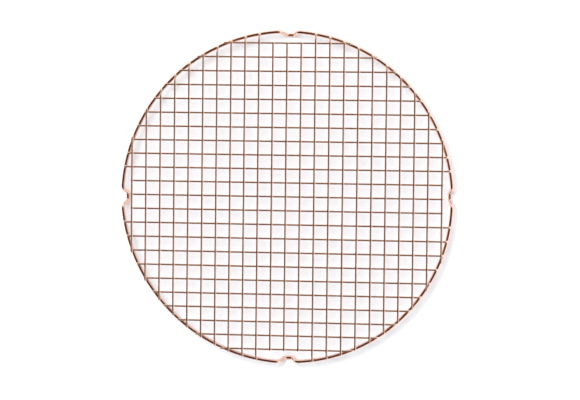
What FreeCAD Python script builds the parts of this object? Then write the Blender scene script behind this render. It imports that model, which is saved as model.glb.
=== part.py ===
"""Round wire cooling rack: one hoop with four formed feet, and two crossed layers of straight wires."""
import math
import os

import FreeCAD
import Part
import Sketcher

V = FreeCAD.Vector

# Millimetres, +Z up. The origin is on the surface the feet stand on, under the centre of the hoop.
# Angles in the sheet are degrees. The hoop is a little out of round, as a hand-closed hoop is. Its feet are
# numbered anticlockwise from +X, and side 1 is the stretch of hoop from foot 1 to foot 2.
SIZES = [
    ("rim_diameter", 331.8, "outside of the hoop, 13 inches and a little"),
    ("rim_wire", 3.8, "hoop wire diameter"),
    ("rim_height", 14.7, "centre line of the hoop above the table"),
    ("side_out_1", -0.5, "how far the middle of side 1 is outside a true circle"),
    ("side_out_2", -0.35, "the same for side 2"),
    ("side_out_3", -0.95, "the same for side 3"),
    ("side_out_4", 1.35, "the same for side 4"),
    ("foot_out_1", 0.35, "how far the hoop is outside a true circle at foot 1"),
    ("foot_out_2", -0.5, "the same at foot 2"),
    ("foot_out_3", 0.75, "the same at foot 3"),
    ("foot_out_4", 0.05, "the same at foot 4"),
    ("foot_turn_1", 0.8, "how far foot 1 is turned from square to the grid"),
    ("foot_turn_2", -0.4, "the same for foot 2"),
    ("foot_turn_3", 0.9, "the same for foot 3"),
    ("foot_turn_4", 0.95, "the same for foot 4"),
    ("grid_wire", 1.8, "grid wire diameter"),
    ("pitch_across", 14.05, "spacing of the upper wires, along X"),
    ("pitch_along", 13.8, "spacing of the lower wires, along Y"),
    ("weld_drift", 0.3, "how far a wire strays from its place in the welding jig"),
    ("drift_step", 30.0, "turn of the drift's wave from one wire to the next"),
    ("weld_sink", 0.1, "how far two wires are pressed into each other at a weld"),
    ("wires_beside", 11, "wires on each side of the middle one, in both layers"),
    ("short_beside", 1, "wires on each side of the middle one that stop short of the feet"),
    ("wire_end_inset", 0.3, "from the outside of the hoop in to the ends of the grid wires"),
    ("short_wire_end", 0.9, "short wires past the centre line of the last wire they cross"),
    ("bend_slope", 24.0, "slope of the step down at the ends of an upper wire"),
    ("bend_radius", 3.0, "radius of both bends of that step"),
    ("seat_lead", 1.0, "from the foot of the step to the hoop's centre line"),
    ("step_room", 5.5, "least distance from the last crossing to the hoop that a step fits in"),
    ("foot_top_half", 8.0, "half the width of a foot at the hoop, between corners"),
    ("foot_bottom_half", 4.8, "half the width of a foot at the table, between corners"),
    ("foot_lean", 3.0, "how far a foot leans in under the hoop"),
    ("foot_shoulder", 14.0, "half the stretch of hoop that a foot is formed from"),
    ("foot_top_radius", 5.6, "centre-line bend radius where a foot leaves the hoop"),
    ("foot_bottom_radius", 4.6, "centre-line bend radius at the table"),
]

DERIVED = [
    ("rim_radius", "=(rim_diameter - rim_wire) / 2", "centre line of the hoop"),
    ("foot_height", "=rim_wire / 2", "centre line of the feet at the table"),
    ("lower_height", "=rim_height + rim_wire / 2 + grid_wire / 2 - weld_sink", "centre of the lower wires"),
    ("upper_height", "=lower_height + grid_wire - weld_sink", "centre line of the upper wires"),
    ("upper_drop", "=upper_height - lower_height", "height of the step at an upper wire's end"),
    ("wire_reach", "=rim_wire / 2 - wire_end_inset", "grid wires past the hoop's centre line, square to it"),
]
FOOT_COUNT = 4


def add_rows(sheet, rows, first_row):
    for row, (alias, value, note) in enumerate(rows, start=first_row):
        sheet.set("A%d" % row, alias)
        sheet.set("B%d" % row, str(value))
        sheet.set("C%d" % row, note)
        sheet.setAlias("B%d" % row, alias)
    sheet.Document.recompute()


def make_sheet(doc):
    """The sizes, then a cutting list of the grid wires, which are cut to fit the hoop."""
    sheet = doc.addObject("Spreadsheet::Sheet", "Sizes")
    add_rows(sheet, SIZES + DERIVED, 1)
    add_rows(sheet, cutting_list(sheet), len(SIZES + DERIVED) + 2)
    return sheet


def at_angle(radius, angle, height):
    """The point at this distance from the Z axis, at this angle in degrees and at this height."""
    turn = math.radians(angle)
    return V(radius * math.cos(turn), radius * math.sin(turn), height)


def foot_angle(sizes, foot):
    return 360.0 / FOOT_COUNT * (foot - 1) + getattr(sizes, "foot_turn_%d" % foot)


def foot_radius(sizes, foot):
    return sizes.rim_radius + getattr(sizes, "foot_out_%d" % foot)


def shoulder_point(sizes, foot, side):
    """Where a foot leaves the hoop: side is -1 for the clockwise end of the foot, +1 for the other."""
    radius = foot_radius(sizes, foot)
    half_angle = math.degrees(math.asin(sizes.foot_shoulder / radius))
    return at_angle(radius, foot_angle(sizes, foot) + side * half_angle, sizes.rim_height)


def side_arc(sizes, side):
    """The centre line of one side of the hoop, an arc from a foot to the next one anticlockwise."""
    next_foot = side % FOOT_COUNT + 1
    start = shoulder_point(sizes, side, 1)
    end = shoulder_point(sizes, next_foot, -1)
    middle_angle = 360.0 / FOOT_COUNT * (side - 0.5)
    middle_radius = sizes.rim_radius + getattr(sizes, "side_out_%d" % side)
    return Part.Arc(start, at_angle(middle_radius, middle_angle, sizes.rim_height), end).toShape()


def side_before(sizes, foot):
    """The arc of the side that ends at this foot. The side that starts at it has the foot's own number."""
    return side_arc(sizes, (foot - 2) % FOOT_COUNT + 1)


def half_chord(radius, offset):
    """Half the length of the chord that lies at this offset from the centre of a circle."""
    return math.sqrt(radius ** 2 - offset ** 2)


def hoop_crossing(sizes, layer, place, end, past):
    """How far along itself a wire at this place crosses the hoop, end being -1 or +1.
    The crossing is with a line that lies past the hoop's centre line, outside it, or with that line itself
    when past is 0."""
    x_sign, y_sign = (place, end) if layer == "upper" else (end, place)
    if y_sign > 0:
        circle = side_arc(sizes, 1 if x_sign > 0 else 2).Curve
    else:
        circle = side_arc(sizes, 4 if x_sign > 0 else 3).Curve
    centre = circle.Center
    along, across = (centre.y, centre.x) if layer == "upper" else (centre.x, centre.y)
    return along + end * half_chord(circle.Radius + past, place - across)


def wire_place(sizes, layer, step):
    """Where a wire lies across the rack, counted in steps from the middle one."""
    drift = sizes.weld_drift * math.cos(math.radians(sizes.drift_step * step))
    if layer == "upper":
        return sizes.pitch_across * step - drift
    return sizes.pitch_along * step + drift


def wire_steps(sizes):
    count = int(sizes.wires_beside)
    return range(-count, count + 1)


def wire_name(sizes, layer, step):
    return "%s_wire_%02d" % (layer, step + int(sizes.wires_beside) + 1)


def is_short(sizes, step):
    return abs(step) <= sizes.short_beside


def span(sizes, layer, place, past):
    """The middle and half the length of a wire from hoop to hoop, or from past one side to past the other."""
    low = hoop_crossing(sizes, layer, place, -1, past)
    high = hoop_crossing(sizes, layer, place, 1, past)
    return (low + high) / 2, (high - low) / 2


def has_step(sizes, step):
    """Whether an upper wire has room to step down to the hoop past its last crossing, at both ends."""
    if is_short(sizes, step):
        return False
    place = wire_place(sizes, "upper", step)
    for other in wire_steps(sizes):
        crossing = wire_place(sizes, "lower", other)
        end = 1 if crossing > 0 else -1
        middle, half_length = span(sizes, "lower", crossing, sizes.wire_reach)
        crosses = half_length + sizes.grid_wire > abs(place - middle)
        if crosses and abs(hoop_crossing(sizes, "upper", place, end, 0) - crossing) < sizes.step_room:
            return False
    return True


def cutting_list(sizes):
    """Rows for the sheet: where each grid wire lies, and the middle and half length of its run."""
    rows = []
    for layer in ("lower", "upper"):
        other_pitch = sizes.pitch_across if layer == "lower" else sizes.pitch_along
        short_half = other_pitch * sizes.wires_beside + sizes.short_wire_end
        for step in wire_steps(sizes):
            name = wire_name(sizes, layer, step)
            place = wire_place(sizes, layer, step)
            if is_short(sizes, step):
                middle, half_length = 0.0, short_half
            else:
                middle, half_length = span(sizes, layer, place, sizes.wire_reach)
            rows.append((name + "_place", place, "across the rack"))
            rows.append((name + "_middle", middle, "middle of its length"))
            rows.append((name + "_half", half_length, "half its length"))
            if layer == "upper" and has_step(sizes, step):
                seat = span(sizes, layer, place, 0)[1] - sizes.seat_lead
                rows.append((name + "_seat", seat, "from its middle to the foot of its step"))
    return rows


def origin_plane(body, role):
    return next(plane for plane in body.Origin.OriginFeatures if plane.Role == role)


def new_sketch(body, name, role):
    sketch = body.newObject("Sketcher::SketchObject", name)
    sketch.AttachmentSupport = [(origin_plane(body, role), "")]
    sketch.MapMode = "FlatFace"
    return sketch


def bind(sketch, constraint, expression):
    index = sketch.addConstraint(constraint)
    sketch.setExpression("Constraints[%d]" % index, expression)


def wire_section(body, sizes, role):
    """A circle of the grid wire's diameter, round the body's origin."""
    sketch = new_sketch(body, "Section", role)
    circle = sketch.addGeometry(Part.Circle(V(0, 0, 0), V(0, 0, 1), sizes.grid_wire / 2))
    sketch.addConstraint(Sketcher.Constraint("Coincident", circle, 3, -1, 1))
    bind(sketch, Sketcher.Constraint("Diameter", circle, sizes.grid_wire), "Sizes.grid_wire")
    return sketch


def straight_wire(doc, sizes, name, role):
    """A plain length of wire, centred on the body's origin and square to the plane named by role."""
    body = doc.addObject("PartDesign::Body", name)
    section = wire_section(body, sizes, role)
    doc.recompute()
    pad = body.newObject("PartDesign::Pad", "Length")
    pad.Profile = section
    pad.SideType = "Symmetric"
    pad.setExpression("Length", "2 * Sizes.%s_half" % name)
    return body


def step_path(body, sizes, name):
    """Half of an upper wire's centre line: level, a short step down, then level again on the hoop."""
    sketch = new_sketch(body, "Path", "YZ_Plane")
    seat_start = getattr(sizes, name + "_seat")
    half_length = getattr(sizes, name + "_half")
    slope = math.radians(sizes.bend_slope)
    radius = sizes.bend_radius
    drop = sizes.upper_drop
    arc_length = radius * math.sin(slope)
    arc_drop = radius * (1 - math.cos(slope))
    slope_length = (drop - 2 * arc_drop) / math.tan(slope)
    top_end = seat_start - 2 * arc_length - slope_length
    slope_top = V(top_end + arc_length, -arc_drop, 0)
    slope_foot = V(seat_start - arc_length, arc_drop - drop, 0)
    upper_circle = Part.Circle(V(top_end, -radius, 0), V(0, 0, 1), radius)
    lower_circle = Part.Circle(V(seat_start, radius - drop, 0), V(0, 0, 1), radius)
    quarter = math.pi / 2

    level = sketch.addGeometry(Part.LineSegment(V(0, 0, 0), V(top_end, 0, 0)))
    over = sketch.addGeometry(Part.ArcOfCircle(upper_circle, quarter - slope, quarter))
    down = sketch.addGeometry(Part.LineSegment(slope_top, slope_foot))
    under = sketch.addGeometry(Part.ArcOfCircle(lower_circle, 3 * quarter - slope, 3 * quarter))
    seat = sketch.addGeometry(Part.LineSegment(V(seat_start, -drop, 0), V(half_length, -drop, 0)))

    start, end = 1, 2
    origin = (-1, 1)
    for constraint in (
        Sketcher.Constraint("Coincident", level, start, *origin),
        Sketcher.Constraint("Horizontal", level),
        Sketcher.Constraint("Horizontal", seat),
        Sketcher.Constraint("Tangent", level, end, over, end),
        Sketcher.Constraint("Tangent", over, start, down, start),
        Sketcher.Constraint("Tangent", down, end, under, start),
        Sketcher.Constraint("Tangent", under, end, seat, start),
    ):
        sketch.addConstraint(constraint)
    bind(sketch, Sketcher.Constraint("Radius", over, radius), "Sizes.bend_radius")
    bind(sketch, Sketcher.Constraint("Radius", under, radius), "Sizes.bend_radius")
    bind(sketch, Sketcher.Constraint("Angle", down, -slope), "-Sizes.bend_slope * 1 deg")
    bind(sketch, Sketcher.Constraint("DistanceY", *origin, seat, end, -drop), "-Sizes.upper_drop")
    bind(sketch, Sketcher.Constraint("DistanceX", *origin, seat, start, seat_start), "Sizes.%s_seat" % name)
    bind(sketch, Sketcher.Constraint("DistanceX", *origin, seat, end, half_length), "Sizes.%s_half" % name)
    return sketch


def stepped_wire(doc, sizes, name):
    """An upper wire whose two ends step down onto the hoop: one half swept, then mirrored."""
    body = doc.addObject("PartDesign::Body", name)
    path = step_path(body, sizes, name)
    section = wire_section(body, sizes, "XZ_Plane")
    doc.recompute()
    sweep = body.newObject("PartDesign::AdditivePipe", "Half")
    sweep.Profile = section
    sweep.Spine = (path, [""])
    sweep.Mode = "Frenet"
    doc.recompute()
    mirrored = body.newObject("PartDesign::Mirrored", "BothHalves")
    mirrored.Originals = [sweep]
    mirrored.MirrorPlane = (origin_plane(body, "XZ_Plane"), [""])
    mirrored.Refine = True
    body.Tip = mirrored
    return body


def upper_wire(doc, sizes, step):
    name = wire_name(sizes, "upper", step)
    if has_step(sizes, step):
        body = stepped_wire(doc, sizes, name)
    else:
        body = straight_wire(doc, sizes, name, "XZ_Plane")
    body.setExpression("Placement.Base.x", "Sizes.%s_place" % name)
    body.setExpression("Placement.Base.y", "Sizes.%s_middle" % name)
    body.setExpression("Placement.Base.z", "Sizes.upper_height")
    return body


def lower_wire(doc, sizes, step):
    name = wire_name(sizes, "lower", step)
    body = straight_wire(doc, sizes, name, "YZ_Plane")
    body.setExpression("Placement.Base.x", "Sizes.%s_middle" % name)
    body.setExpression("Placement.Base.y", "Sizes.%s_place" % name)
    body.setExpression("Placement.Base.z", "Sizes.lower_height")
    return body


def rounded_run(corners, radii):
    """Edges along a line of corners, with a tangent arc of the given radius at each inner corner."""
    edges = []
    here = corners[0]
    for before, corner, after, radius in zip(corners, corners[1:], corners[2:], radii):
        back = (before - corner).normalize()
        ahead = (after - corner).normalize()
        half_opening = back.getAngle(ahead) / 2
        trim = radius / math.tan(half_opening)
        inward = (back + ahead).normalize()
        arc_start = corner + back * trim
        arc_end = corner + ahead * trim
        arc_middle = corner + inward * (radius / math.sin(half_opening) - radius)
        edges.append(Part.makeLine(here, arc_start))
        edges.append(Part.Arc(arc_start, arc_middle, arc_end).toShape())
        here = arc_end
    edges.append(Part.makeLine(here, corners[-1]))
    return edges


def foot_edges(sizes, foot):
    """One foot, anticlockwise: off the hoop along its tangent, down, along the table and up again."""
    previous_side = side_before(sizes, foot)
    next_side = side_arc(sizes, foot)
    shoulders = (shoulder_point(sizes, foot, -1), shoulder_point(sizes, foot, 1))
    leaving = previous_side.tangentAt(previous_side.LastParameter)
    arriving = next_side.tangentAt(next_side.FirstParameter)
    run = sizes.foot_shoulder - sizes.foot_top_half
    bottom_radius = foot_radius(sizes, foot) - sizes.foot_lean
    to_foot = FreeCAD.Rotation(V(0, 0, 1), foot_angle(sizes, foot))
    corners = [
        shoulders[0],
        shoulders[0] + leaving * run,
        to_foot.multVec(V(bottom_radius, -sizes.foot_bottom_half, sizes.foot_height)),
        to_foot.multVec(V(bottom_radius, sizes.foot_bottom_half, sizes.foot_height)),
        shoulders[1] - arriving * run,
        shoulders[1],
    ]
    radii = [sizes.foot_top_radius, sizes.foot_bottom_radius, sizes.foot_bottom_radius, sizes.foot_top_radius]
    return rounded_run(corners, radii)


def halves(edge):
    """The first and the second half of one side of the hoop."""
    halfway = (edge.FirstParameter + edge.LastParameter) / 2
    first = Part.Edge(edge.Curve, edge.FirstParameter, halfway)
    second = Part.Edge(edge.Curve, halfway, edge.LastParameter)
    return first, second


def rim_quarter(doc, sizes, foot):
    """The hoop wire from half way along the side before a foot to half way along the side after it."""
    before = halves(side_before(sizes, foot))[1]
    after = halves(side_arc(sizes, foot))[0]
    edges = [before, *foot_edges(sizes, foot), after]
    path = doc.addObject("Part::Feature", "RimPath%d" % foot)
    path.Shape = Part.Wire(edges)
    section = doc.addObject("Part::Circle", "RimSection%d" % foot)
    section.setExpression("Radius", "Sizes.rim_wire / 2")
    start = before.valueAt(before.FirstParameter)
    along_hoop = FreeCAD.Rotation(V(0, 0, 1), before.tangentAt(before.FirstParameter))
    section.Placement = FreeCAD.Placement(start, along_hoop)
    sweep = doc.addObject("Part::Sweep", "RimQuarter%d" % foot)
    sweep.Sections = [section]
    sweep.Spine = (path, ["Edge%d" % (index + 1) for index in range(len(edges))])
    sweep.Solid = True
    sweep.Frenet = False
    return sweep


def rim_wire(doc, sizes, name):
    """The hoop and its four feet, formed from one round wire."""
    rim = doc.addObject("Part::MultiFuse", name)
    rim.Shapes = [rim_quarter(doc, sizes, foot) for foot in range(1, FOOT_COUNT + 1)]
    return rim


def build(doc):
    sizes = make_sheet(doc)
    parts = [rim_wire(doc, sizes, "rim_wire")]
    for step in wire_steps(sizes):
        parts.append(lower_wire(doc, sizes, step))
        parts.append(upper_wire(doc, sizes, step))
    doc.recompute()
    return parts


def check(doc, parts):
    for item in doc.Objects:
        if "Invalid" in item.State or "Error" in item.State:
            raise RuntimeError("%s did not compute: %s" % (item.Label, item.State))
    for part in parts:
        if part.Shape.isNull() or not part.Shape.isValid() or len(part.Shape.Solids) != 1:
            raise RuntimeError("%s is not one valid solid" % part.Label)


def export(parts):
    os.makedirs("parts", exist_ok=True)
    for part in parts:
        part.Shape.exportStep("parts/%s.step" % part.Label)


document = FreeCAD.newDocument("cooling_rack")
rack_parts = build(document)
check(document, rack_parts)
export(rack_parts)
print("%d parts, %.0f mm3 of wire" % (len(rack_parts), sum(part.Shape.Volume for part in rack_parts)))
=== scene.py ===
"""Looks of the round wire cooling rack: smooth wire meshes, welds, rose-gold plating, light and camera."""

import math
import random

import bpy
from mathutils import Matrix, Vector


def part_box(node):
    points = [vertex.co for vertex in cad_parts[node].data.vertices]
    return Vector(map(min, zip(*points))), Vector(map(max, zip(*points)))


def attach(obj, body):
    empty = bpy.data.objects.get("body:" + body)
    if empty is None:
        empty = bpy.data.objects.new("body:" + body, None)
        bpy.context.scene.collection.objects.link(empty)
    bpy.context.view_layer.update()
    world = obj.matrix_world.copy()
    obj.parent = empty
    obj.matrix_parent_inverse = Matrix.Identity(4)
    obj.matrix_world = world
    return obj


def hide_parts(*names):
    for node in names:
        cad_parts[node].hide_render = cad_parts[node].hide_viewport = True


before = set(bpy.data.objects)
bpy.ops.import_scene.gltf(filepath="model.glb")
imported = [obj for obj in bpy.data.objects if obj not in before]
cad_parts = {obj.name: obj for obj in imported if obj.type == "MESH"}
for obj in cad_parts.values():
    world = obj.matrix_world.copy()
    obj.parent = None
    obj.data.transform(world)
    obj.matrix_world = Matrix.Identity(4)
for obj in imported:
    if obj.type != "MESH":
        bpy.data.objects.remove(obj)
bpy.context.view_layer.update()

MM = 0.001

# Sizes of the real rack. The hoop is a little out of round. Its feet are numbered anticlockwise from +X,
# and side 0 is the stretch of hoop from foot 0 to foot 1.
GRID_WIRE = 1.8 * MM
RIM_WIRE = 3.8 * MM
RIM_RADIUS = 164.0 * MM
RIM_HEIGHT = 14.7 * MM
FOOT_COUNT = 4
FOOT_OUT = [0.35 * MM, -0.5 * MM, 0.75 * MM, 0.05 * MM]
SIDE_OUT = [-0.5 * MM, -0.35 * MM, -0.95 * MM, 1.35 * MM]
FOOT_TURN = [math.radians(turn) for turn in (0.8, -0.4, 0.9, 0.95)]
FOOT_TOP_HALF = 8.0 * MM
FOOT_BOTTOM_HALF = 4.8 * MM
FOOT_LEAN = 3.0 * MM
FOOT_SHOULDER = 14.0 * MM
FOOT_TOP_BEND = 5.6 * MM
FOOT_BOTTOM_BEND = 4.6 * MM
STEP_SLOPE = math.radians(24.0)
STEP_BEND = 3.0 * MM
SEAT_LEAD = 1.0 * MM

# How finely the wires are drawn: sides of a cross section, and spacing of cross sections along a wire.
GRID_SIDES = 16
RIM_SIDES = 32
BEND_STEPS = 12
SIDE_STEPS = 80
END_INSETS = [inset * MM for inset in (0.04, 0.12, 0.3, 0.6, 0.9, 1.2, 1.5, 1.8, 2.1, 2.4, 2.7, 3.0)]
WELD_OFFSETS = [offset * MM for offset in (0.0, 0.5, 0.9, 1.3, 1.8, 3.0, 4.5)]
CLEAR_OF_END = 0.35 * MM
CLOSEST_RINGS = 0.03 * MM
STEP_RING_SPACING = 0.25 * MM
PLACE_DIGITS = 7

# What welding and cutting did to the grid wires. Their ends on the hoop are squeezed thinner and wider.
END_ROUND = 0.3 * MM
CUT_END_SHARE = 0.72
END_PRESSED = 3.0 * MM
END_THINNED = 0.9 * MM
END_SAG = 0.7 * MM
END_SPREAD = 0.2
# Painted highlight: how far from a wire's end on the hoop its colour is made paler.
PAINTED_HIGHLIGHT_REACH = 3.0 * MM
ELECTRODE_DENT = 0.07 * MM
ELECTRODE_SPREAD = 0.05 * MM
ELECTRODE_REACH = 1.0 * MM
HEAT_REACH = 2.6 * MM

# The bead where the hoop's own two ends are butted together.
BEAD_HEIGHT = 0.16 * MM
BEAD_REACH = 0.55 * MM
BUTT_HEAT_REACH = 5.0 * MM

# Squeezed-out metal at a weld: half the size along X, along Y and upwards.
CROSSING_NUGGET = (1.6 * MM, 1.12 * MM, 0.52 * MM)
HOOP_NUGGET = (1.4 * MM, 1.4 * MM, 0.5 * MM)
NUGGET_RINGS = 6
NUGGET_SIDES = 12
NUGGET_SIZE_SPREAD = (0.92, 1.08)
NUGGET_LOBES = 3
NUGGET_LOBE_SIZE = 0.07
NUGGET_RIPPLES = 5
NUGGET_RIPPLE_SIZE = 0.05
NUGGET_PHASES = (0, 6)
NUGGET_SEED = 7
# Painted highlight: how much paler in colour the nuggets are made.
NUGGET_PAINTED_HIGHLIGHT = 0.8

X, Y = 0, 1
UNIT = (Vector((1, 0, 0)), Vector((0, 1, 0)))


# ---------------------------------------------------------------- the hoop's centre line

def arc_points(start, centre, end, count):
    """Points on the shorter arc from start to end round centre, both ends included."""
    first = start - centre
    last = end - centre
    turn = first.angle(last)
    axis = first.cross(last).normalized()
    return [centre + Matrix.Rotation(turn * step / count, 3, axis) @ first for step in range(count + 1)]


def round_corner(before, corner, after, radius, count):
    """The tangent arc that replaces a corner, as count + 1 points."""
    back = (before - corner).normalized()
    ahead = (after - corner).normalized()
    half_opening = back.angle(ahead) / 2
    trim = radius / math.tan(half_opening)
    inward = (back + ahead).normalized()
    centre = corner + inward * (radius / math.sin(half_opening))
    return arc_points(corner + back * trim, centre, corner + ahead * trim, count)


def at_angle(radius, angle, height):
    return Vector((radius * math.cos(angle), radius * math.sin(angle), height))


def foot_angle(foot):
    return 2 * math.pi / FOOT_COUNT * foot + FOOT_TURN[foot]


def shoulder_point(foot, end):
    """Where a foot leaves the hoop: end is -1 for its clockwise end and +1 for the other."""
    radius = RIM_RADIUS + FOOT_OUT[foot]
    half_angle = math.asin(FOOT_SHOULDER / radius)
    return at_angle(radius, foot_angle(foot) + end * half_angle, RIM_HEIGHT)


def side_circle(side):
    """Centre and radius of the circle through both ends and the middle of one side of the hoop."""
    start = shoulder_point(side, 1)
    end = shoulder_point((side + 1) % FOOT_COUNT, -1)
    middle = at_angle(RIM_RADIUS + SIDE_OUT[side], 2 * math.pi / FOOT_COUNT * (side + 0.5), RIM_HEIGHT)
    to_end = end - start
    to_middle = middle - start
    normal = to_end.cross(to_middle)
    from_start = (to_middle.length_squared * normal.cross(to_end)
                  + to_end.length_squared * to_middle.cross(normal)) / (2 * normal.length_squared)
    return start + from_start, from_start.length


def side_points(side, count):
    """Points along one side of the hoop, both ends included."""
    centre, _ = side_circle(side)
    return arc_points(shoulder_point(side, 1), centre, shoulder_point((side + 1) % FOOT_COUNT, -1), count)


def side_tangent(side, point):
    """The anticlockwise direction of a side of the hoop at a point on it."""
    centre, _ = side_circle(side)
    return Vector((0, 0, 1)).cross(point - centre).normalized()


def foot_points(foot):
    """One foot, from its clockwise shoulder to the other."""
    first = shoulder_point(foot, -1)
    last = shoulder_point(foot, 1)
    run = FOOT_SHOULDER - FOOT_TOP_HALF
    turn = Matrix.Rotation(foot_angle(foot), 3, "Z")
    bottom = RIM_RADIUS + FOOT_OUT[foot] - FOOT_LEAN
    corners = [
        first,
        first + side_tangent((foot - 1) % FOOT_COUNT, first) * run,
        turn @ Vector((bottom, -FOOT_BOTTOM_HALF, RIM_WIRE / 2)),
        turn @ Vector((bottom, FOOT_BOTTOM_HALF, RIM_WIRE / 2)),
        last - side_tangent(foot, last) * run,
        last,
    ]
    bends = [FOOT_TOP_BEND, FOOT_BOTTOM_BEND, FOOT_BOTTOM_BEND, FOOT_TOP_BEND]
    points = []
    for index, bend in enumerate(bends):
        points += round_corner(corners[index], corners[index + 1], corners[index + 2], bend, BEND_STEPS)
    return points


def rim_points():
    """The hoop's closed centre line, which starts at the butt weld half way along side 0."""
    points = []
    for foot in range(FOOT_COUNT):
        points += foot_points(foot)
        points += side_points(foot, SIDE_STEPS)
    butt_weld = len(foot_points(0)) + SIDE_STEPS // 2
    return points[butt_weld:] + points[:butt_weld]


# ---------------------------------------------------------------- meshes

def smooth_piece(name, vertices, faces, attributes):
    """A smooth-shaded mesh with attributes on its points, each given as a name, a kind and its values."""
    mesh = bpy.data.meshes.new(name)
    mesh.from_pydata(vertices, [], faces)
    for key, kind, values in attributes:
        layer = mesh.attributes.new(key, kind, "POINT")
        if kind == "FLOAT":
            layer.data.foreach_set("value", values)
        else:
            layer.data.foreach_set("vector", [part for value in values for part in value])
    for polygon in mesh.polygons:
        polygon.use_smooth = True
    mesh.update()
    piece = bpy.data.objects.new(name, mesh)
    bpy.context.collection.objects.link(piece)
    return piece


def ring_faces(rings, sides, closed):
    """Faces of a tube made of rings of vertices, either closed on itself or capped at both ends."""
    faces = []
    last = rings if closed else rings - 1
    for ring in range(last):
        here = ring * sides
        there = ((ring + 1) % rings) * sides
        for side in range(sides):
            other = (side + 1) % sides
            faces.append((here + side, there + side, there + other, here + other))
    if not closed:
        faces.append(tuple(range(sides)))
        faces.append(tuple((rings - 1) * sides + side for side in reversed(range(sides))))
    return faces


def cut_end_shrink(to_end):
    """How much thinner a wire is at this distance from its end, where the cut edge is rounded over."""
    if to_end >= END_ROUND:
        return 1.0
    return CUT_END_SHARE + (1 - CUT_END_SHARE) * math.sqrt(1 - (1 - to_end / END_ROUND) ** 2)


def grid_wire_mesh(name, across, centres, distances, welds, pressed, on_hoop):
    """A grid wire. across is the level direction square to it, centres are its centre line, distances the
    way along it, welds the places along it that are welded, and pressed is +1 where the electrode came
    down on its top, -1 where it came up on its underside. Ends that lie on the hoop are squeezed flat."""
    length = distances[-1]
    vertices = []
    straightened = []
    heat = []
    highlight_shares = []
    for index, (centre, distance) in enumerate(zip(centres, distances)):
        ahead = centres[min(index + 1, len(centres) - 1)] - centres[max(index - 1, 0)]
        upward = ahead.normalized().cross(across)
        if upward.z < 0:
            upward = -upward
        to_end = min(distance, length - distance)
        shrink = cut_end_shrink(to_end)
        into_end = max(0.0, 1 - to_end / END_PRESSED) if on_hoop else 0.0
        # Painted highlight: the wire's colour turns paler towards an end on the hoop.
        highlight_here = math.exp(-(to_end / PAINTED_HIGHLIGHT_REACH) ** 2) if on_hoop else 0.0
        thinned = END_THINNED * into_end ** 1.5
        sunk = thinned / 2 + END_SAG * into_end ** 2
        to_weld = min(abs(distance - weld) for weld in welds)
        press = math.exp(-(to_weld / ELECTRODE_REACH) ** 4)
        warmth = math.exp(-(to_weld / HEAT_REACH) ** 2)
        for side in range(GRID_SIDES):
            angle = 2 * math.pi * side / GRID_SIDES
            level = GRID_WIRE / 2 * shrink * (1 + END_SPREAD * into_end) * math.cos(angle)
            rise = (GRID_WIRE - thinned) / 2 * shrink * math.sin(angle)
            level += ELECTRODE_SPREAD * press * math.cos(angle)
            if pressed * rise > 0:
                rise -= pressed * ELECTRODE_DENT * press * math.sin(angle) ** 4
            vertices.append(centre + across * level + upward * (rise - sunk))
            straightened.append((distance, level, rise))
            heat.append(warmth * (1 - into_end))
            highlight_shares.append(highlight_here)
    faces = ring_faces(len(centres), GRID_SIDES, closed=False)
    attributes = [("along_wire", "FLOAT_VECTOR", straightened), ("weld_heat", "FLOAT", heat),
                  ("painted_highlight_share", "FLOAT", highlight_shares)]
    return smooth_piece(name, vertices, faces, attributes)


def ring_places(start, end, welds):
    """Places for cross sections along a wire: dense at the ends and the welds, sparse between them."""
    places = {round(start, PLACE_DIGITS), round(end, PLACE_DIGITS)}
    for inset in END_INSETS:
        places.add(round(start + inset, PLACE_DIGITS))
        places.add(round(end - inset, PLACE_DIGITS))
    for weld in welds:
        for offset in WELD_OFFSETS:
            for place in (weld - offset, weld + offset):
                if start + CLEAR_OF_END < place < end - CLEAR_OF_END:
                    places.add(round(place, PLACE_DIGITS))
    ordered = sorted(places)
    kept = [ordered[0]]
    for place in ordered[1:]:
        if place - kept[-1] > CLOSEST_RINGS:
            kept.append(place)
    return kept


# ---------------------------------------------------------------- grid wires, placed from the frame

upper_names = sorted(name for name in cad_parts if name.startswith("upper_wire"))
lower_names = sorted(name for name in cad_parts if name.startswith("lower_wire"))
wires = {}
for name in upper_names + lower_names:
    low, high = (Vector(corner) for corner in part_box(name))
    wires[name] = {"low": low, "high": high, "middle": (low + high) / 2}


def crossings(name, others, axis):
    """Where a wire's neighbours in the other layer cross it, as places along it."""
    wire = wires[name]
    other_axis = 1 - axis
    place = wire["middle"][other_axis]
    found = []
    for other in others:
        reach_low = wires[other]["low"][other_axis]
        reach_high = wires[other]["high"][other_axis]
        where = wires[other]["middle"][axis]
        if reach_low < place < reach_high and wire["low"][axis] < where < wire["high"][axis]:
            found.append(where)
    return found


def side_towards(x, y):
    """The side of the hoop that lies in the same quarter as this direction from the middle."""
    if y > 0:
        return 0 if x > 0 else 1
    return 3 if x > 0 else 2


def rim_contacts(name, axis):
    """Where a wire's centre line passes over the hoop's: two places along it, or none if it stops short."""
    wire = wires[name]
    place = wire["middle"][1 - axis]
    found = []
    for end in (-1, 1):
        side = side_towards(end, place) if axis == X else side_towards(place, end)
        centre, radius = side_circle(side)
        found.append(centre[axis] + end * math.sqrt(radius ** 2 - (place - centre[1 - axis]) ** 2))
    return found if wire["high"][axis] > found[1] else []


def wire_drop(name):
    """How much lower the ends of a wire are than its middle."""
    return wires[name]["high"].z - wires[name]["low"].z - GRID_WIRE


def is_stepped(name):
    return wire_drop(name) > GRID_WIRE / 2


def step_shape(drop):
    """Length and height of one bend of a step this high, and the length of the slope between its bends."""
    bend_length = STEP_BEND * math.sin(STEP_SLOPE)
    bend_height = STEP_BEND * (1 - math.cos(STEP_SLOPE))
    slope_length = (drop - 2 * bend_height) / math.tan(STEP_SLOPE)
    return bend_length, bend_height, slope_length


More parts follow.
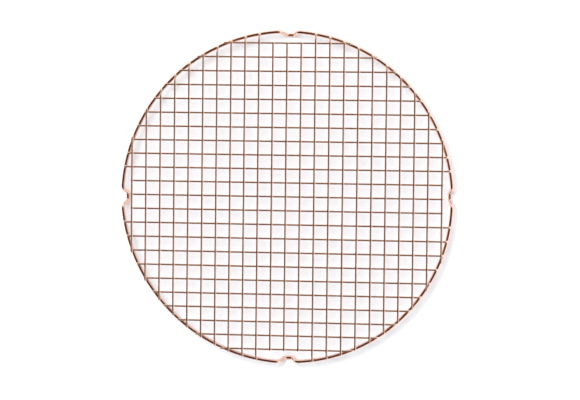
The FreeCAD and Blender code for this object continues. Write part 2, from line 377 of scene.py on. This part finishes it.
def step_span(name, axis):
    """From the middle of a stepped wire to the top and to the foot of its step."""
    low_contact, high_contact = rim_contacts(name, axis)
    foot = (high_contact - low_contact) / 2 - SEAT_LEAD
    bend_length, _, slope_length = step_shape(wire_drop(name))
    return foot - 2 * bend_length - slope_length, foot


def height_lost(into, drop):
    """How far a stepped wire has come down at this distance past the top of its step."""
    bend_length, bend_height, slope_length = step_shape(drop)
    if into <= 0:
        return 0.0
    if into < bend_length:
        return STEP_BEND - math.sqrt(STEP_BEND ** 2 - into ** 2)
    into -= bend_length
    if into < slope_length:
        return bend_height + into * math.tan(STEP_SLOPE)
    into -= slope_length
    if into < bend_length:
        rest = bend_length - into
        return drop - (STEP_BEND - math.sqrt(STEP_BEND ** 2 - rest ** 2))
    return drop


def step_ring_places(middle, step_top, step_foot):
    """Closely spaced places for cross sections over the step at either end of a wire."""
    count = int((step_foot - step_top) / STEP_RING_SPACING) + 2
    from_middle = [step_top + STEP_RING_SPACING * index for index in range(count)]
    return [middle + end * distance for distance in from_middle for end in (-1, 1)]


def make_grid_wire(name, axis, others, pressed):
    """One wire of a layer whose wires lie along this axis and are welded to the others."""
    wire = wires[name]
    along, across = UNIT[axis], UNIT[1 - axis]
    start, end = wire["low"][axis], wire["high"][axis]
    middle = (start + end) / 2
    contacts = rim_contacts(name, axis)
    welds = sorted(crossings(name, others, axis) + contacts)
    places = ring_places(start, end, welds)
    step_top = math.inf
    if is_stepped(name):
        step_top, step_foot = step_span(name, axis)
        places = sorted(set(places + step_ring_places(middle, step_top, step_foot)))
        places = [place for place in places if start <= place <= end]
    top = wire["high"].z - GRID_WIRE / 2
    centres = []
    for place in places:
        lost = height_lost(abs(place - middle) - step_top, wire_drop(name))
        centre = along * place + Vector((0, 0, top - lost))
        centre[1 - axis] = wire["middle"][1 - axis]
        centres.append(centre)
    distances = [place - places[0] for place in places]
    welds_along = [weld - places[0] for weld in welds]
    piece = grid_wire_mesh(name + "_drawn", across, centres, distances, welds_along, pressed, bool(contacts))
    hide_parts(name)
    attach(piece, "root")
    return piece


# ---------------------------------------------------------------- the hoop and the welds

def make_rim():
    """The hoop and its feet, one closed tube with a low bead at the butt weld."""
    points = rim_points()
    count = len(points)
    distances = [0.0]
    for before, after in zip(points, points[1:]):
        distances.append(distances[-1] + (after - before).length)
    length = distances[-1] + (points[0] - points[-1]).length
    tangents = [(points[(index + 1) % count] - points[index - 1]).normalized() for index in range(count)]
    vertices, straightened, heat = [], [], []
    for point, tangent, distance in zip(points, tangents, distances):
        outward = Vector((point.x, point.y, 0)).normalized()
        outward = (outward - tangent * outward.dot(tangent)).normalized()
        third = tangent.cross(outward).normalized()
        from_joint = min(distance, length - distance)
        radius = RIM_WIRE / 2 + BEAD_HEIGHT * math.exp(-(from_joint / BEAD_REACH) ** 2)
        warmth = math.exp(-(from_joint / BUTT_HEAT_REACH) ** 2)
        for side in range(RIM_SIDES):
            angle = 2 * math.pi * side / RIM_SIDES
            level, rise = radius * math.cos(angle), radius * math.sin(angle)
            vertices.append(point + outward * level + third * rise)
            straightened.append((distance, level, rise))
            heat.append(warmth)
    faces = ring_faces(count, RIM_SIDES, closed=True)
    attributes = [("along_wire", "FLOAT_VECTOR", straightened), ("weld_heat", "FLOAT", heat)]
    piece = smooth_piece("rim_wire_drawn", vertices, faces, attributes)
    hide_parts("rim_wire")
    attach(piece, "root")
    return piece


def nugget(centre, half_width, half_depth, half_height, turn, phase):
    """Vertices and faces of one squeezed-out weld: a flattened drop, made slightly uneven by two waves."""
    vertices = [centre + Vector((0, 0, -half_height))]
    for ring in range(1, NUGGET_RINGS):
        polar = math.pi * ring / NUGGET_RINGS
        for side in range(NUGGET_SIDES):
            angle = turn + 2 * math.pi * side / NUGGET_SIDES
            lobe = NUGGET_LOBE_SIZE * math.sin(NUGGET_LOBES * angle + phase)
            ripple = NUGGET_RIPPLE_SIZE * math.sin(NUGGET_RIPPLES * angle + 2 * phase)
            reach = math.sin(polar) * (1 + lobe + ripple)
            vertices.append(centre + Vector((reach * half_width * math.cos(angle),
                                             reach * half_depth * math.sin(angle),
                                             -half_height * math.cos(polar))))
    vertices.append(centre + Vector((0, 0, half_height)))
    top_ring = 1 + (NUGGET_RINGS - 2) * NUGGET_SIDES
    faces = []
    for side in range(NUGGET_SIDES):
        other = (side + 1) % NUGGET_SIDES
        faces.append((0, 1 + other, 1 + side))
        faces.append((top_ring + side, top_ring + other, len(vertices) - 1))
        for ring in range(NUGGET_RINGS - 2):
            here = 1 + ring * NUGGET_SIDES
            above = here + NUGGET_SIDES
            faces.append((here + side, here + other, above + other, above + side))
    return vertices, faces


def make_welds(name, places, half_size):
    """One piece that holds a nugget at every one of these places."""
    chance = random.Random(NUGGET_SEED)
    half_width, half_depth, half_height = half_size
    vertices, faces = [], []
    for place in places:
        this_width = half_width * chance.uniform(*NUGGET_SIZE_SPREAD)
        turn = chance.uniform(0, math.pi)
        phase = chance.uniform(*NUGGET_PHASES)
        drop, drop_faces = nugget(place, this_width, half_depth, half_height, turn, phase)
        start = len(vertices)
        vertices += drop
        faces += [tuple(start + corner for corner in face) for face in drop_faces]
    straightened = [tuple(vertex) for vertex in vertices]
    heat = [1.0] * len(vertices)
    # Painted highlight: every nugget is made paler in colour.
    highlight_shares = [NUGGET_PAINTED_HIGHLIGHT] * len(vertices)
    attributes = [("along_wire", "FLOAT_VECTOR", straightened), ("weld_heat", "FLOAT", heat),
                  ("painted_highlight_share", "FLOAT", highlight_shares)]
    piece = smooth_piece(name, vertices, faces, attributes)
    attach(piece, "root")
    return piece


def crossing_places():
    """The middle of every weld between an upper and a lower wire."""
    upper_level = wires[upper_names[len(upper_names) // 2]]["middle"].z
    lower_level = wires[lower_names[len(lower_names) // 2]]["middle"].z
    places = []
    for upper in upper_names:
        for where in crossings(upper, lower_names, Y):
            places.append(Vector((wires[upper]["middle"].x, where, (upper_level + lower_level) / 2)))
    return places


def hoop_weld_places():
    """The middle of every weld on the hoop: the lower wires that reach it and the stepped upper ones."""
    contact_level = RIM_HEIGHT + RIM_WIRE / 2
    places = []
    for lower in lower_names:
        for where in rim_contacts(lower, X):
            places.append(Vector((where, wires[lower]["middle"].y, contact_level)))
    for upper in filter(is_stepped, upper_names):
        for where in rim_contacts(upper, Y):
            places.append(Vector((wires[upper]["middle"].x, where, contact_level)))
    return places


# The electrodes closed on the top of the upper wires and on the underside of the lower ones.
upper_pieces = [make_grid_wire(name, Y, lower_names, +1) for name in upper_names]
lower_pieces = [make_grid_wire(name, X, upper_names, -1) for name in lower_names]
rim = make_rim()
grid_welds = make_welds("grid_welds", crossing_places(), CROSSING_NUGGET)
rim_welds = make_welds("rim_welds", hoop_weld_places(), HOOP_NUGGET)


# ---------------------------------------------------------------- plating

# Colours are linear. The wires' ends on the hoop and the weld nuggets are given a paler colour, a painted
# highlight.
# The noise is scaled along the wire and across it. Only the middle of its range shows, at full contrast.
PAINTED_HIGHLIGHT_COLOUR = (0.90, 0.68, 0.57)
HEAT_TINT_SHARE = 0.55
LINES_PER_METRE = (60, 2600, 2600)
LINES_RANGE = (0.3, 0.7)
LINE_DEPTH = 0.03 * MM
LINE_STRENGTH = 0.12
PATCHES_PER_METRE = (90, 250, 250)
PATCHES_RANGE = (0.35, 0.7)


def node(tree, kind, **inputs):
    """A new shader node, with values for its inputs. An underscore in an input's name stands for a space."""
    made = tree.nodes.new(kind)
    for key, value in inputs.items():
        made.inputs[key.replace("_", " ")].default_value = value
    return made


def map_range(tree, source, from_range, to_range):
    """A node that carries a value from one range to another and holds it there past the ends."""
    made = node(tree, "ShaderNodeMapRange", From_Min=from_range[0], From_Max=from_range[1],
                To_Min=to_range[0], To_Max=to_range[1])
    tree.links.new(source, made.inputs["Value"])
    return made.outputs["Result"]


def colour_mix(tree, factor, first, second):
    """A mix of two colours. The first is a colour or another node's output."""
    mix = tree.nodes.new("ShaderNodeMix")
    mix.data_type = "RGBA"
    if isinstance(first, tuple):
        mix.inputs["A"].default_value = (*first, 1)
    else:
        tree.links.new(first, mix.inputs["A"])
    mix.inputs["B"].default_value = (*second, 1)
    tree.links.new(factor, mix.inputs["Factor"])
    return mix.outputs["Result"]


def point_value(tree, name, output):
    """One of the attributes that the meshes carry on their points."""
    attribute = tree.nodes.new("ShaderNodeAttribute")
    attribute.attribute_name = name
    return attribute.outputs[output]


def noise_along_wire(tree, scale, detail, roughness):
    """Noise in the coordinates of the straightened wire, so that it follows every bend."""
    place = tree.nodes.new("ShaderNodeMapping")
    place.inputs["Scale"].default_value = scale
    noise = node(tree, "ShaderNodeTexNoise", Scale=1.0, Detail=detail, Roughness=roughness)
    tree.links.new(point_value(tree, "along_wire", "Vector"), place.inputs["Vector"])
    tree.links.new(place.outputs["Vector"], noise.inputs["Vector"])
    return noise.outputs["Fac"]


def plating(name, colour, deep_colour, heat_colour, roughness):
    """Rose-gold plating over drawn steel wire: fine lines along the wire, a tint round each weld, and a
    painted highlight, a paler colour, at the wires' ends and on the nuggets.
    """
    material = bpy.data.materials.new(name)
    material.use_nodes = True
    tree = material.node_tree
    shader = tree.nodes["Principled BSDF"]
    shader.inputs["Metallic"].default_value = 1.0
    lines = noise_along_wire(tree, LINES_PER_METRE, detail=4.0, roughness=0.55)
    patches = noise_along_wire(tree, PATCHES_PER_METRE, detail=3.0, roughness=0.6)

    patchy = colour_mix(tree, map_range(tree, patches, PATCHES_RANGE, (0.0, 1.0)), colour, deep_colour)
    heat_share = node(tree, "ShaderNodeMath")
    heat_share.operation = "MULTIPLY"
    heat_share.inputs[1].default_value = HEAT_TINT_SHARE
    tree.links.new(point_value(tree, "weld_heat", "Fac"), heat_share.inputs[0])
    tinted = colour_mix(tree, heat_share.outputs["Value"], patchy, heat_colour)
    # Painted highlight: the paler colour at the wires' ends and on the nuggets.
    highlighted = colour_mix(tree, point_value(tree, "painted_highlight_share", "Fac"), tinted, PAINTED_HIGHLIGHT_COLOUR)
    tree.links.new(highlighted, shader.inputs["Base Color"])

    tree.links.new(map_range(tree, lines, LINES_RANGE, roughness), shader.inputs["Roughness"])
    bump = node(tree, "ShaderNodeBump", Strength=LINE_STRENGTH, Distance=LINE_DEPTH)
    tree.links.new(lines, bump.inputs["Height"])
    tree.links.new(bump.outputs["Normal"], shader.inputs["Normal"])
    return material


# Painted shade: the grid wires carry the same rose gold as the hoop, in a darker copy of its colours.
grid_plating = plating("grid_plating", colour=(0.735, 0.48, 0.345), deep_colour=(0.68, 0.42, 0.30),
                       heat_colour=(0.655, 0.405, 0.28), roughness=(0.10, 0.20))
hoop_plating = plating("hoop_plating", colour=(0.96, 0.69, 0.58), deep_colour=(0.915, 0.62, 0.51),
                       heat_colour=(0.79, 0.46, 0.35), roughness=(0.06, 0.14))
for piece in upper_pieces + lower_pieces + [grid_welds, rim_welds]:
    piece.data.materials.append(grid_plating)
rim.data.materials.append(hoop_plating)


# ---------------------------------------------------------------- floor, light and camera

FLOOR_HALF = 3.0
PAPER = (0.845, 0.864, 0.90)
MIRRORED_PAPER = (0.77, 0.76, 0.77)
PAPER_ROUGHNESS = 0.9
PAPER_SPECULAR = 0.1

# The studio all round: its light on the paper and the brightness of the backdrop. Mirrored in the plating, it
# is bright at the horizon, dimmer overhead, and dark towards one side.
SURROUND_LIGHT = 0.83
BACKDROP = 1.0
HORIZON_GLOW = 2.2
ZENITH_GLOW = 0.45
DARK_SIDE = (220, 58)
DARK_EDGE = (0.34, 0.56)
MIRRORED_DARK = (0.095, 0.042, 0.033)
DARK_HEIGHTS = (0.55, 1.0)
DARK_STRENGTHS = (0.0, 1.3)

# Directions are an azimuth from +X and an elevation, in degrees.
KEY_DIRECTION = (112, 70)
KEY_DISTANCE = 4.0
KEY_SIZE = 2.3
KEY_POWER = 118.0
CAMERA_DIRECTION = (20.27, 82.28)
CAMERA_ROLL = 0.652
CAMERA_DISTANCE = 2.248
CAMERA_TARGET = Vector((4.16, -2.78, 18.3)) * MM
CAMERA_LENS = 141.1
CAMERA_SENSOR = 36.0


def direction_of(azimuth, elevation):
    azimuth, elevation = math.radians(azimuth), math.radians(elevation)
    level = math.cos(elevation)
    return Vector((level * math.cos(azimuth), level * math.sin(azimuth), math.sin(elevation)))


def make_floor():
    """A sheet of white paper under everything, a little duller where the plating mirrors it."""
    corners = [(x * FLOOR_HALF, y * FLOOR_HALF, 0) for x, y in ((-1, -1), (1, -1), (1, 1), (-1, 1))]
    mesh = bpy.data.meshes.new("floor")
    mesh.from_pydata(corners, [], [(0, 1, 2, 3)])
    floor = bpy.data.objects.new("floor", mesh)
    bpy.context.collection.objects.link(floor)
    material = bpy.data.materials.new("white_paper")
    material.use_nodes = True
    tree = material.node_tree
    shader = tree.nodes["Principled BSDF"]
    shader.inputs["Roughness"].default_value = PAPER_ROUGHNESS
    shader.inputs["Specular IOR Level"].default_value = PAPER_SPECULAR
    path = tree.nodes.new("ShaderNodeLightPath")
    tone = colour_mix(tree, path.outputs["Is Glossy Ray"], PAPER, MIRRORED_PAPER)
    tree.links.new(tone, shader.inputs["Base Color"])
    floor.data.materials.append(material)


def make_key():
    """One broad soft light. It lights the paper, and the plating doesn't mirror it."""
    light = bpy.data.lights.new("key", "AREA")
    light.shape = "DISK"
    light.size = KEY_SIZE
    light.energy = KEY_POWER
    lamp = bpy.data.objects.new("key", light)
    direction = direction_of(*KEY_DIRECTION)
    lamp.location = direction * KEY_DISTANCE
    lamp.rotation_euler = direction.to_track_quat("Z", "Y").to_euler()
    lamp.visible_glossy = False
    bpy.context.collection.objects.link(lamp)


def shader_mix(tree, factor, first, second):
    mix = tree.nodes.new("ShaderNodeMixShader")
    tree.links.new(factor, mix.inputs["Fac"])
    tree.links.new(first, mix.inputs[1])
    tree.links.new(second, mix.inputs[2])
    return mix.outputs["Shader"]


def mirrored_studio(tree):
    """What the plating mirrors of the studio: a bright horizon, and a dark side that is darkest low down."""
    place = tree.nodes.new("ShaderNodeTexCoord")
    apart = tree.nodes.new("ShaderNodeSeparateXYZ")
    tree.links.new(place.outputs["Generated"], apart.inputs["Vector"])
    height = apart.outputs["Z"]
    light = tree.nodes.new("ShaderNodeBackground")
    glow = map_range(tree, height, (0.0, 1.0), (HORIZON_GLOW, ZENITH_GLOW))
    tree.links.new(glow, light.inputs["Strength"])
    dark = node(tree, "ShaderNodeBackground", Color=(*MIRRORED_DARK, 1))
    tree.links.new(map_range(tree, height, DARK_HEIGHTS, DARK_STRENGTHS), dark.inputs["Strength"])
    towards_dark = tree.nodes.new("ShaderNodeVectorMath")
    towards_dark.operation = "DOT_PRODUCT"
    towards_dark.inputs[1].default_value = direction_of(*DARK_SIDE)
    tree.links.new(place.outputs["Generated"], towards_dark.inputs[0])
    shade = map_range(tree, towards_dark.outputs["Value"], DARK_EDGE, (0.0, 1.0))
    return shader_mix(tree, shade, light.outputs["Background"], dark.outputs["Background"])


def make_world():
    """Even white for the eye and for the paper; what the plating mirrors is darker towards one side."""
    world = bpy.data.worlds.new("studio")
    bpy.context.scene.world = world
    world.use_nodes = True
    tree = world.node_tree
    tree.nodes.clear()
    path = tree.nodes.new("ShaderNodeLightPath")
    even = node(tree, "ShaderNodeBackground", Color=(1, 1, 1, 1), Strength=SURROUND_LIGHT)
    backdrop = node(tree, "ShaderNodeBackground", Color=(1, 1, 1, 1), Strength=BACKDROP)
    mirrored = mirrored_studio(tree)
    lighting = shader_mix(tree, path.outputs["Is Glossy Ray"], even.outputs["Background"], mirrored)
    seen = shader_mix(tree, path.outputs["Is Camera Ray"], lighting, backdrop.outputs["Background"])
    out = tree.nodes.new("ShaderNodeOutputWorld")
    tree.links.new(seen, out.inputs["Surface"])


def make_camera():
    """Almost straight down on the rack, rolled a fraction of a degree."""
    camera_data = bpy.data.cameras.new("camera")
    camera_data.lens = CAMERA_LENS
    camera_data.sensor_width = CAMERA_SENSOR
    camera = bpy.data.objects.new("camera", camera_data)
    bpy.context.collection.objects.link(camera)
    back = direction_of(*CAMERA_DIRECTION)
    level = Vector((0, 1, 0)).cross(back).normalized()
    square = back.cross(level)
    roll = math.radians(CAMERA_ROLL)
    right = math.cos(roll) * level + math.sin(roll) * square
    up = math.cos(roll) * square - math.sin(roll) * level
    rotation = Matrix((right, up, back)).transposed().to_4x4()
    camera.matrix_world = Matrix.Translation(CAMERA_TARGET + back * CAMERA_DISTANCE) @ rotation
    bpy.context.scene.camera = camera


make_floor()
make_world()
make_key()
make_camera()
bpy.context.scene.view_settings.view_transform = "Standard"
